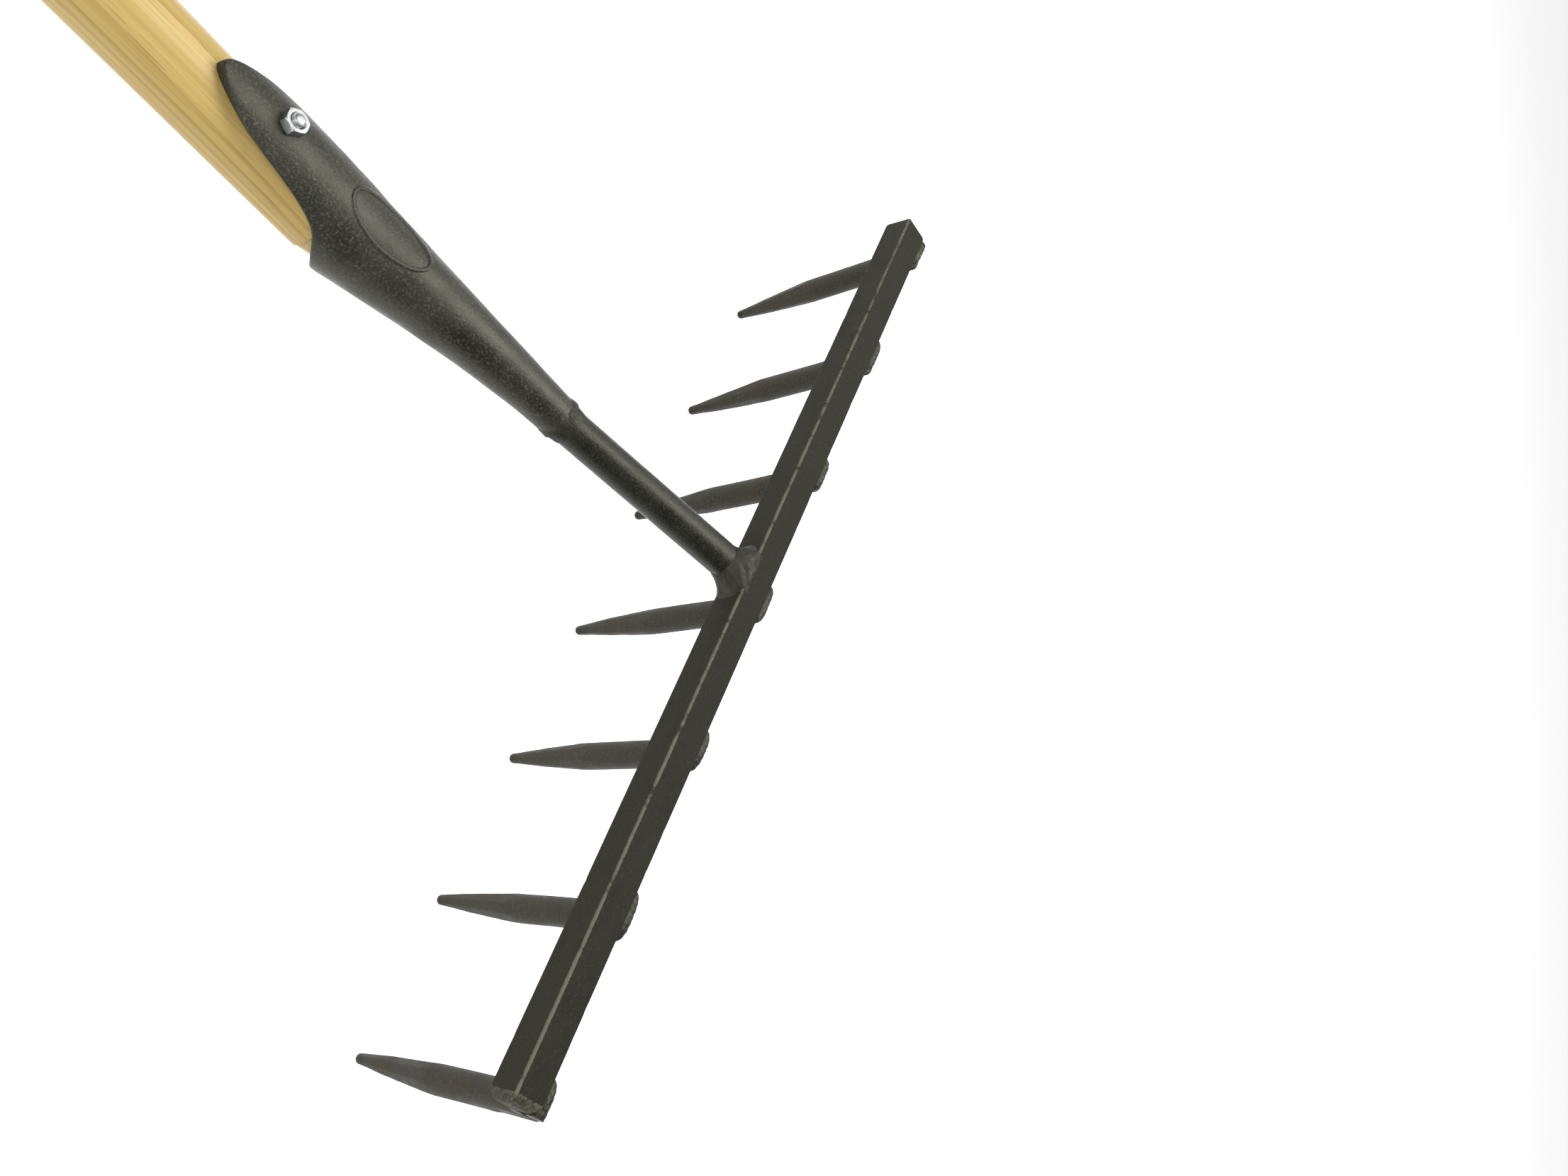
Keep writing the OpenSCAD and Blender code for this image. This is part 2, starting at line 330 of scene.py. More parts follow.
def black_steel(name, colors, rough, specular=0.4, spots=0.28, grain=1.0, lit_front_tint=None):
    """Thin black coating over forged steel: mottled, speckled, and worn to bare metal where 'wear' says; on
    the bar, the same bare colour also paints highlights.

    The colours are the coating's darker and lighter one, the specks' and the bare metal's. rough is the
    roughness of the darker and the lighter coating, spots how strong the specks are, and grain how fine."""
    dark, light, speck, bare = (srgb(c) for c in colors)
    m = Nodes(name)
    p = m.coords()
    mottle = m.noise(p, 45, 5.0, 0.6)
    fine = m.noise(p, 900 * grain, 4.0, 0.7)
    dots = m.cells(p, 1000 * grain)
    color = m.mix(m.between(mottle, 0.30, 0.72), dark, light)
    # painted light: the faces that look along the handle get a lighter brown cast, standing in for the light
    # that falls on that side
    if lit_front_tint is not None:                 # a brown cast on the faces that look along the handle
        forward = m.between(m.split(m.facing())[0], 0.75, 0.95)
        color = m.mix(m.times(forward, m.between(mottle, 0.25, 0.6, 0.35, 0.9)), color, srgb(lit_front_tint))
    color = m.mix(m.between(fine, 0.50, 0.68, 0.0, 2.0 * spots), color, speck)
    color = m.mix(m.between(dots, 0.22, 0.08, 0.0, spots), color, speck)
    # where 'wear' is high the bare-metal colour shows; on the bar that includes painted highlights
    broken = m.plus(m.mask("wear"), m.times(m.minus(fine, 0.5), 0.6))
    color = m.mix(m.between(broken, 0.50, 0.80), color, bare)
    normal = m.bump(m.plus(mottle, m.times(fine, 0.45)), 0.7, 0.7 * MM)
    roughness = m.plus(m.between(mottle, 0.3, 0.7, *rough), m.between(fine, 0.35, 0.65, -0.05, 0.09))
    return m.finish(color, roughness, normal, specular=specular, tint=OLIVE)


def weld_metal():
    """Dark scale over weld metal, lighter and barer where 'wear' says."""
    m = Nodes("weld_metal")
    p = m.coords()
    fine = m.noise(p, 600, 4.0, 0.6)
    blotch = m.noise(p, 90, 4.0, 0.6)
    color = m.mix(m.between(blotch, 0.35, 0.65), srgb("12120f"), srgb("24231d"))
    broken = m.plus(m.times(m.mask("wear"), 0.6), fine)
    color = m.mix(m.between(broken, 0.70, 1.0), color, srgb("5a5646"))
    normal = m.bump(m.plus(fine, blotch), 0.4, 0.5 * MM)
    return m.finish(color, m.between(fine, 0.3, 0.7, 0.46, 0.62), normal, specular=0.3, tint=OLIVE)


def zinc_plate():
    """Bright plating, clouded, with fine scratches round the bolt."""
    m = Nodes("zinc_plate")
    p = m.coords()
    cloud = m.noise(p, 260, 3.0, 0.5)
    scratch = m.noise(m.mapped(p, scale=(300, 300, 2400)), 1.0, 2.0, 0.6)
    color = m.mix(m.between(cloud, 0.35, 0.65), srgb("c3c8c4"), srgb("a3aaa6"))
    color = m.mix(m.between(scratch, 0.60, 0.72, 0.0, 0.5), color, srgb("767d7a"))
    normal = m.bump(scratch, 0.15, 0.1 * MM)
    return m.finish(color, m.between(cloud, 0.3, 0.7, 0.26, 0.42), normal, metallic=1.0)


def paper():
    """White paper for the floor; its glow evens out the fall-off of the lights."""
    m = Nodes("floor_paper")
    grain = m.noise(m.coords(), 60, 3.0, 0.5)
    color = m.mix(grain, (0.70, 0.70, 0.70), (0.73, 0.73, 0.73))
    return m.finish(color, 0.85, specular=0.1, glow=0.62)


ASH = ash_wood()
FORGED = black_steel("forged_steel", ("0e0e0a", "1f1e19", "57554a", "5e5c4f"), (0.32, 0.48))
NECK_STEEL = black_steel("neck_steel", ("0b0b08", "171713", "46453b", "56554a"), (0.30, 0.42),
                         specular=0.3, spots=0.2)
# the bar's last colour is painted light: a lighter brown cast on its front faces, for the light on that side
BAR_STEEL = black_steel("bar_steel", ("191914", "22221c", "45443b", "5c5b4e"), (0.62, 0.74),
                        specular=0.14, spots=0.15, lit_front_tint="25211a")
TINE_STEEL = black_steel("tine_steel", ("15120e", "2a231b", "4d4537", "524739"), (0.50, 0.64),
                         specular=0.25, grain=0.8)
WELD = weld_metal()
ZINC = zinc_plate()


def dress(obj, material):
    obj.data.materials.clear()
    obj.data.materials.append(material)


# ---------------------------------------------------------------- socket
# In this section lengths are in mm, in the socket's own frame: X along the handle from the seam, and Z
# towards the tongue. phi is the angle round the socket from the middle of the tongue.
SOCKET_L = 127.0                         # seam to the lower lip
TONGUE_L = 212.0                         # seam to the tip of the tongue
BORE_FROM = 50.0                         # seam to the bottom of the bore
TAPER_L = 91.0                           # length of the handle's tapered end
TAPER_R, TAPER_RISE = 8.5, 12.0          # radius of its small end, and the end's centre off the axis
SHOULDER = 0.5                           # step from the taper up to the handle's full radius
FIT_GAP = 0.15                           # between the steel and the wood
RIM_SOFT = 1.0                           # rounding of the cut edge
DENTS = ((0.16, 16, 3.0), (0.07, 6, 8.0))        # as layered() takes them

# cross-sections: (distance from the seam, centre off the handle's axis, radius)
LIP = [SOCKET_L, 2.9, 22.25]
TONGUE_TIP = [TONGUE_L + 3, 1.6, 22.2]
CONE = [[0, SOCKET_RISE / MM, 10.5], [0.27 * SOCKET_L, 16.1, 11.8], [0.6 * SOCKET_L, 11.3, 15.7], LIP]
TONGUE = [LIP, [SOCKET_L + 15, 1.9, 23.9], [TONGUE_L - 27, 2.6, 23.6], TONGUE_TIP]
SECTIONS = curve(CONE, 30) + curve(TONGUE, 30, first=1)
RISES = [(a, rise) for a, rise, radius in SECTIONS]
RADII = [(a, radius) for a, rise, radius in SECTIONS]

# the edge that the tongue is cut to, seen from the side: (distance from the seam, height)
CORNER = [SOCKET_L + 15, 8.6]
KNEE = [TONGUE_L - 25, 19.8]
POINT = [TONGUE_L + 2, TONGUE_TIP[1] + TONGUE_TIP[2] + 0.3]
SCARF = curve([[SOCKET_L - 1, -26], [SOCKET_L + 2, -12], [SOCKET_L + 7, -2], CORNER], 40)
SCARF += curve([CORNER, [SOCKET_L + 22, 17.8], [TONGUE_L - 37, 17.8], KNEE], 40, first=1)
SCARF += curve([KNEE, [TONGUE_L - 17, 21], [TONGUE_L - 9, 23.5], POINT], 40, first=1)

SOCKET_FRAME = (Matrix.Translation((SEAM_X, 0, 0)) @ Matrix.Rotation(SOCKET_TURN, 4, "X")
                @ Matrix.Scale(MM, 4))


def socket_point(a, phi, r, ahead=0.0):
    """Point at distance r from the middle of the section at a, then moved ahead along the socket."""
    return Vector((a + ahead, r * math.sin(phi), lerp_table(RISES, a) + r * math.cos(phi)))


def back_point(a, phi, sink=0.0):
    """Point of the socket's outside, sunk below its surface."""
    return socket_point(a, phi, lerp_table(RADII, a) - sink)


def bore_radius(a, phi):
    """Distance from the section's middle to the bore, which follows the wood."""
    if a >= BORE_FROM + TAPER_L:
        wood_r, wood_z = HANDLE_R / MM, 0.0
    else:
        t = max(0.0, (a - BORE_FROM) / TAPER_L)
        wood_r = TAPER_R + t * (HANDLE_R / MM - SHOULDER - TAPER_R)
        wood_z = TAPER_RISE * (1 - t)
    p = lerp_table(RISES, a) - wood_z
    return -p * math.cos(phi) + math.sqrt(max(0.0, wood_r ** 2 - (p * math.sin(phi)) ** 2)) + FIT_GAP


def cut_edge():
    """(phi, distance from the seam) along the cut edge, from the bottom of the lip to the tongue's tip."""
    edge = [(math.pi, SOCKET_L)]
    for a, z in SCARF:
        cosine = (z - lerp_table(RISES, a)) / lerp_table(RADII, a)
        if -1 < cosine < 1:
            edge.append((math.acos(cosine), a))
    return edge + [(0.0, edge[-1][1] + 0.2)]


def socket_columns():
    """(phi, distance from the seam) of the cut edge all round, in even steps along the edge.

    So the sides of the tongue are as finely divided as its tip."""
    steps = 110
    half = cut_edge()
    corners = [back_point(a, phi) for phi, a in half]
    run = [0.0]
    for p, q in zip(corners, corners[1:]):
        run.append(run[-1] + (q - p).length)
    phis = [(d, phi) for d, (phi, a) in zip(run, half)]
    ends = [(d, a) for d, (phi, a) in zip(run, half)]
    even = [run[-1] * i / steps for i in range(steps + 1)]
    right = [(lerp_table(phis, d), lerp_table(ends, d)) for d in even]
    return right + [(-phi, a) for phi, a in reversed(right[1:-1])]


def edge_slants(columns):
    """How far the cut edge runs across each column: 1 where it is square to it, and never below 0.45."""
    slants = []
    for before, after in zip(columns[-1:] + columns[:-1], columns[1:] + columns[:1]):
        t = back_point(after[1], after[0]) - back_point(before[1], before[0])
        slants.append(max(0.45, math.hypot(t.y, t.z) / t.length))
    return slants


def socket_outside(columns):
    """Points and wear of the dented outside, row by row from the seam, and round over the cut edge."""
    body_rows = 90
    edge_rows = (1.0, 0.7, 0.45, 0.25, 0.1, 0.0)      # from the start of the rounding to the edge
    slants = edge_slants(columns)
    points, wear = [], []
    for j in range(body_rows + len(edge_rows)):
        for (phi, a_end), slant in zip(columns, slants):
            rounding = RIM_SOFT / slant
            if j < body_rows:
                a, sink, over = (a_end - rounding) * j / body_rows, 0.0, 0.0
            else:
                over = 1 - edge_rows[j - body_rows]
                a = a_end - rounding * edge_rows[j - body_rows]
                sink = RIM_SOFT * (1 - math.sqrt(1 - over ** 2))
            p = back_point(a, phi, sink)
            middle = Vector((0, 0, lerp_table(RISES, a)))
            p += (Vector((0, p.y, p.z)) - middle).normalized() * layered(p * MM, DENTS)
            points.append(p)
            if over:
                wear.append(0.25 + 0.42 * over * (1 - over) * 2)
            else:
                wear.append(0.10 + 0.12 * max(0.0, wobble(p * MM, 30, 5.0)))
    return points, wear


def socket_inside(columns):
    """Points and wear of the rim's wall, then of the bore a little way down."""
    thinnest, lean = 0.2, 0.3            # of the rim: its wall, and how far its inner side stands out
    points, wear = [], []
    for share in (0.0, 0.5, 1.0):
        for phi, a_end in columns:
            outer = lerp_table(RADII, a_end) - RIM_SOFT
            inner = min(bore_radius(a_end, phi), outer - thinnest)
            points.append(socket_point(a_end, phi, outer + (inner - outer) * share, ahead=lean * share))
            wear.append(0.12)
    for deep in (6.0, 25.0):
        for phi, a_end in columns:
            points.append(socket_point(a_end - deep, phi, bore_radius(a_end - deep, phi)))
            wear.append(0.0)
    return points, wear


def raised_oval():
    """Points, wear and faces of a plain oval line that stands out of the middle of the cone."""
    turns, sides = 96, 8
    at, half_long, half_wide = 121.5, 22.0, 11.0
    line_half, line_high, sunk = 1.3, 0.75, 0.25
    points, wear, faces = [], [], []
    for t in round_angles(turns):
        a, arc = at + half_long * math.cos(t), half_wide * math.sin(t)
        phi = arc / lerp_table(RADII, a)
        centre = back_point(a, phi, sunk)
        out = Vector((0, math.sin(phi), math.cos(phi)))
        ahead = Vector((-half_long * math.sin(t), half_wide * math.cos(t), 0)).normalized()
        side = ahead.cross(out).normalized()
        for w in round_angles(sides):
            points.append(centre + (side * math.cos(w) * line_half + out * math.sin(w) * line_high))
            wear.append(0.34)
    for i in range(turns):
        here, there = i * sides, (i + 1) % turns * sides
        for s in range(sides):
            after = (s + 1) % sides
            faces.append((here + s, there + s, there + after, here + after))
    return points, wear, faces


def build_socket():
    columns = socket_columns()
    points, wear = socket_outside(columns)
    inside, inside_wear = socket_inside(columns)
    points += inside
    wear += inside_wear
    faces = rings_to_faces(len(points) // len(columns), len(columns))
    oval, oval_wear, oval_faces = raised_oval()
    faces += [tuple(len(points) + k for k in face) for face in oval_faces]
    obj = make_object("socket_forging", [SOCKET_FRAME @ p for p in points + oval], faces, wear + oval_wear)
    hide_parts("socket")
    dress(obj, FORGED)


# ---------------------------------------------------------------- bar
BAR_END = 4.6 * MM                       # length over which each end of the bar is bevelled or rounded
BAR_EDGE = 0.8 * MM                      # radius of the bar's long edges
BAR_SWELLS = ((0.05 * MM, 30, 2.0), (0.025 * MM, 7, 6.0))
EDGE_PATCHES = ((0.07, 22, 9.0), (0.06, 5, 3.0))
FRONT_TOP = 0                            # number of the long edge that faces the camera


def bar_outline():
    """Rounded square: (x, z, nearness to a long edge, which edge)."""
    corner_points = 5
    flat_shares = (0.06, 0.2, 0.4, 0.6, 0.8, 0.94)
    signs = ((1, 1), (-1, 1), (-1, -1), (1, -1))
    quarter = math.pi / 2
    outline = []

    def arc_point(c, t):
        return Vector((signs[c][0] * (BAR_HALF - BAR_EDGE) + BAR_EDGE * math.cos(t),
                       signs[c][1] * (BAR_HALF - BAR_EDGE) + BAR_EDGE * math.sin(t)))

    for c in range(4):
        start, after = quarter * c, (c + 1) % 4
        for i in range(corner_points):
            p = arc_point(c, start + quarter * i / (corner_points - 1))
            outline.append((p.x, p.y, 1.0, c))
        for share in flat_shares:
            p = arc_point(c, start + quarter).lerp(arc_point(after, start + quarter), share)
            near = 0.45 if share in (flat_shares[0], flat_shares[-1]) else 0.0
            outline.append((p.x, p.y, near, c if share < 0.5 else after))
    return outline


def bar_stations():
    """Distances from the bar's middle, close together at its ends."""
    inner = 420
    end_steps = (0.0, 0.12, 0.3, 0.5, 0.75, 1.0)
    straight = BAR_LONG - BAR_END
    stations = [-BAR_LONG + BAR_END * t for t in end_steps]
    stations += [-BAR_LONG + BAR_END + 2 * straight * i / inner for i in range(1, inner)]
    return stations + [BAR_LONG - BAR_END * t for t in reversed(end_steps)]


def end_narrowing(y, into):
    """Share by which the bar narrows: the near end (+Y) is bevelled, and the far end rounded over."""
    if y > 0:
        return 0.36 * (1 - into) ** 1.5
    return 0.42 * (1 - math.sqrt(1 - (1 - into) ** 2))


def edge_wear_and_highlight(p, y, near, edge):
    """Wear of the long edges, with a painted highlight: the front top one, which faces the camera, is worn
    bare and painted lighter as if catching the light, more so towards the near end.
    """
    bare = 0.76 + 0.07 * y / BAR_LONG if edge == FRONT_TOP else 0.42
    return near * (bare + layered(p, EDGE_PATCHES))


def bar_nicks():
    """(place, edge, half length, depth) of small knocks in the edges, twice as many in the front top one."""
    rng = random.Random(7)
    edges = (FRONT_TOP, FRONT_TOP, 1, 2, 3)
    return [(rng.uniform(-BAR_LONG, BAR_LONG), rng.choice(edges), rng.uniform(1.2, 4.5) * MM,
             rng.uniform(0.15, 0.55) * MM) for _ in range(70)]


def bar_sides(outline, stations):
    """Points and wear of the bar's long faces, station by station; the wear also holds painted highlights on
    the front top edge and the near end.
    """
    nicks = bar_nicks()
    points, wear = [], []
    for y in stations:
        into = min(1.0, (BAR_LONG - abs(y)) / BAR_END)
        width = 1 - end_narrowing(y, into)
        for x, z, near, edge in outline:
            p = Vector((x * width, y, z * width))
            swell = layered(p, BAR_SWELLS)
            # edge wear, with the painted highlight along the front top edge
            worn = edge_wear_and_highlight(p, y, near, edge)
            for at, which, length, depth in nicks:
                if near > 0.4 and which == edge and abs(y - at) < length:
                    hit = (1 - ((y - at) / length) ** 2) ** 2 * near
                    swell -= depth * 0.3 * hit
                    worn -= 0.12 * hit
            # the ends are ground bare, and the near end's bevel is also painted lighter as a highlight,
            # brightest at its two edges
            if into < 1:
                end_wear_and_highlight = 0.61 + 0.05 * abs(2 * into - 1) if y > 0 else 0.30
                worn = max(worn * into, end_wear_and_highlight + 0.05 * wobble(p, 12, 4.0))
            points.append(BAR_MID + p + Vector((x, 0, z)).normalized() * swell)
            wear.append(worn)
    return points, wear


def bar_cap(points, wear, faces, first, sides, sign):
    """A slightly domed end on the ring that starts at point first: rings that shrink to a flat middle."""
    ring = [first + k for k in range(sides)]
    for share, rise in ((0.86, 0.10), (0.55, 0.24), (0.25, 0.30)):
        start = len(points)
        for p in points[first:first + sides]:
            q = BAR_MID + Vector(((p.x - BAR_MID.x) * share, 0, (p.z - BAR_MID.z) * share))
            q.y = BAR_MID.y + sign * (BAR_LONG + (rise + 0.06 * wobble(q, 4, 1.0)) * MM)
            points.append(q)
            # the near end's face is ground bare and also painted lighter as a highlight; the far end's is
            # only worn
            wear.append((0.60 if sign > 0 else 0.25) + 0.05 * wobble(q, 12, 4.0))
        inner = [start + k for k in range(sides)]
        for k in range(sides):
            after = (k + 1) % sides
            faces.append((ring[k], ring[after], inner[after], inner[k]))
        ring = inner
    faces.append(tuple(ring))


def build_bar():
    outline, stations = bar_outline(), bar_stations()
    points, wear = bar_sides(outline, stations)
    sides = len(outline)
    faces = rings_to_faces(len(stations), sides, False, False)
    bar_cap(points, wear, faces, 0, sides, -1)
    bar_cap(points, wear, faces, (len(stations) - 1) * sides, sides, 1)
    obj = make_object("bar_forging", points, faces, wear)
    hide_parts("bar")
    dress(obj, BAR_STEEL)


# ---------------------------------------------------------------- tines
TINE_R = 7.5 * MM
TINE_TOP = 2.7 * MM                      # top of the rod, below the bar's middle
TINE_GAP = 0.4 * MM                      # between the rod and the bar's back face
TINE_LEAN = math.radians(4)
POINT_L = 72 * MM                        # length of the forged point, from its shoulder to the tip
SECOND_AT = 0.44                         # where the point's second taper starts, as a share of its length
SECOND_R = 5.15 * MM                     # radius there
TIP_R = 2.9 * MM
TIP_H = 1.9 * MM                         # height of the rounded tip, above its end
TIP_ANGLES = (20, 40, 60, 78)            # degrees round the tip, from its side to its end
FLATS = 8                                # hammered flats round the point


def tine_frame(i):
    """Matrix with its origin on the rod's axis at the bar's middle and -Z along the rod."""
    y = BAR_MID.y + (i - (TINE_COUNT + 1) / 2) * TINE_PITCH
    x = BAR_BACK - TINE_R - TINE_GAP
    return Matrix.Translation((x, y, BAR_MID.z)) @ Matrix.Rotation(TINE_LEAN, 4, "Y")


def tine_rows(top, shoulder, tip):
    """(height, radius) of each ring; the radius is None where it depends on the flats."""
    chamfer = 2.5 * MM
    forged_from = shoulder + 6 * MM
    rod_rows, point_rows = 26, 64
    rod_top, point_end = top - chamfer, tip + TIP_H
    rows = [(top, 0.0), (top, TINE_R - chamfer), (top - 1.2 * MM, TINE_R - 1.0 * MM), (rod_top, TINE_R)]
    rows += [(rod_top + (forged_from - rod_top) * j / rod_rows, None) for j in range(1, rod_rows + 1)]
    rows += [(forged_from + (point_end - forged_from) * j / point_rows, None)
             for j in range(1, point_rows + 1)]
    for t in map(math.radians, TIP_ANGLES):
        rows.append((tip + TIP_R * 0.75 * (1 - math.sin(t)), TIP_R * math.cos(t)))
    return rows


def build_tine(i):
    place = tine_frame(i)
    rng = random.Random(100 + i)
    seed = 11.0 * i
    length = (BAR_MID.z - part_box("tine_%d" % i)[0].z) / math.cos(TINE_LEAN) - TINE_TOP
    top, tip = -TINE_TOP, -TINE_TOP - length
    shoulder, second = tip + POINT_L, tip + SECOND_AT * POINT_L
    sides = 48
    turn = rng.uniform(0, 1.0)
    starts = [shoulder + rng.uniform(-5, 4) * MM for _ in range(FLATS)]

    def forged_radius(z, start, flat):
        """Radius at height z; flat is 1 at the corner between two flats, and less in between."""
        if z > second:
            taper = TINE_R + (SECOND_R - TINE_R) * (start - z) / (start - second)
            return min(TINE_R, taper * 1.03 * flat)
        taper = SECOND_R + (TIP_R - SECOND_R) * (second - z) / (second - tip - TIP_H)
        fuller = 1 + 0.03 * (z - tip) / (second - tip)
        return taper * fuller * (1 + (flat - 1) * min(1, (z - tip) / (8 * MM)))

    points, wear = [], []
    rows = tine_rows(top, shoulder, tip)
    for z, fixed_r in rows:
        forged = clamp((shoulder + 10 * MM - z) / (14 * MM))
        near_tip = max(0.0, 1 - (z - tip) / (26 * MM))
        # the rod wanders a little off its axis, fully so from 40 mm below its top
        bend = Vector((wobble((0, 0, z), 60, seed), wobble((0, 0, z), 60, seed + 4), 0)) * 0.35 * MM
        bend *= min(1.0, (top - z) / (40 * MM))
        for t in round_angles(sides):
            # hammered flats on the drawn-out point, each starting at its own place on the rod
            spot = (t + turn) % FULL_TURN / (FULL_TURN / FLATS)
            flat = math.cos(math.pi / FLATS) / math.cos((spot % 1 - 0.5) * FULL_TURN / FLATS)
            flat = 1 + 0.75 * (flat - 1)
            r = forged_radius(z, starts[int(spot) % FLATS], flat) if fixed_r is None else fixed_r
            p = Vector((r * math.cos(t), r * math.sin(t), z))
            swell = (0.04 + 0.09 * forged) * MM * wobble(p, 9, seed) * min(1.0, r / (2 * MM))
            points.append(place @ (p + Vector((math.cos(t), math.sin(t), 0)) * swell + bend))
            ridge = abs(spot % 1 - 0.5) * 2
            wear.append(0.12 + forged * 0.24 * ridge ** 5 + 0.24 * near_tip)
    # the end tines' flanks are ground flush with the bar's ends
    for p in points:
        if p.z > BAR_MID.z - 30 * MM:
            clamp_along_bar(p, BAR_LONG - 0.05 * MM)
    faces = rings_to_faces(len(rows), sides, False, True)
    obj = make_object("tine_rod_%d" % i, points, faces, wear)
    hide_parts("tine_%d" % i)
    dress(obj, TINE_STEEL)


# ---------------------------------------------------------------- welds
def bead(points, faces, wear, centre, size, seed):
    """Adds a weld bead: a long blob with the given half sizes, rippled across its length (Y)."""
    rings, sides = 44, 26
    ripple, ripple_every = 0.26 * MM, 0.55 * MM
    base = len(points)
    for j in range(rings + 1):
        s = -1 + 2 * j / rings
        span = math.sqrt(max(0.0, 1 - abs(s) ** 3.2))
        for t in round_angles(sides):
            p = Vector((size.x * span * math.cos(t), size.y * s, size.z * span * math.sin(t)))
            chevron = math.sin((p.y + 0.35 * abs(p.x)) / ripple_every + seed)
            rough = 0.35 * chevron + 0.6 * wobble(p, 3.2, seed) + 1.3 * wobble(p, 9, seed + 2)
            out = Vector((math.cos(t), 0, math.sin(t)))
            points.append(centre + (p + out * ripple * rough * span))
            wear.append(0.33 + 0.08 * chevron + 0.16 * wobble(p, 5, seed))
    faces.extend(rings_to_faces(rings + 1, sides, base=base))


def build_tine_weld(i):
    """Two beads: one over the top of the tine, and one in the corner under the bar."""
    y = tine_frame(i).translation.y
    seed = 5.3 * i
    rng = random.Random(40 + i)
    top_half = Vector((4.4 * MM, rng.uniform(11.6, 13.4) * MM, 4.6 * MM))
    top_mid = Vector((BAR_BACK - 4.6 * MM, y + rng.uniform(-0.8, 0.8) * MM, BAR_MID.z + 1.2 * MM))
    root_half = Vector((3.2 * MM, 10.6 * MM, 3.6 * MM))
    root_mid = Vector((BAR_BACK - 1.0 * MM, y, BAR_MID.z - BAR_HALF + 1.5 * MM))
    points, faces, wear = [], [], []
    bead(points, faces, wear, top_mid, top_half, seed)
    bead(points, faces, wear, root_mid, root_half, seed + 1)
    # the end beads are ground flush with the bar's ends
    for k, p in enumerate(points):
        if clamp_along_bar(p, BAR_LONG - 0.1 * MM):
            wear[k] = 0.40
    obj = make_object("tine_bead_%d" % i, points, faces, wear)
    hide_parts("tine_weld_%d" % i)
    dress(obj, WELD)


def build_neck_weld():
    """A low crinkled ring where the socket meets the neck."""
    rows, sides = 40, 120
    half_wide, sunk = 7.4 * MM, 0.35 * MM
    socket_step, socket_flare = 0.9 * MM, 0.035      # the socket beside the ring is thicker than the neck
    socket_fall = 0.075                              # and its middle falls away from the neck's line
    points, wear = [], []
    for j in range(rows + 1):
        s = -1 + 2 * j / rows
        along = s * half_wide
        under = NECK_R if along < 0 else NECK_R + socket_step + socket_flare * along
        centre_z = SEAM_Z + math.tan(NECK_TILT) * max(0.0, -along) - socket_fall * max(0.0, along)
        for t in round_angles(sides):
            cy, cz = math.sin(t), math.cos(t)
            edge = 0.8 * MM * wobble((cz * 0.01, cy * 0.01, 0), 4.0, 2.0 + (s > 0))
            crown = (1.1 + 0.35 * math.sin(t - 2.2)) * MM * (1 - s * s) ** 0.7
            ripple = 0.13 * MM * math.sin(t * 40 + 1.5 * math.sin(3 * t) + 4 * s * s)
            rough = 0.5 * MM * wobble((along, cz * 0.01, cy * 0.01), 4.0, 7.0)
            r = under + crown + (ripple + rough) * (1 - s * s) - sunk
            points.append(Vector((SEAM_X + along + edge * s, NECK_Y + r * cy, centre_z + r * cz)))
            wear.append(0.14 + 0.2 * wobble(points[-1], 5, 1.0))
    faces = rings_to_faces(rows + 1, sides, False, False)
    obj = make_object("neck_bead", points, faces, wear)
    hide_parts("neck_weld")
    dress(obj, WELD)


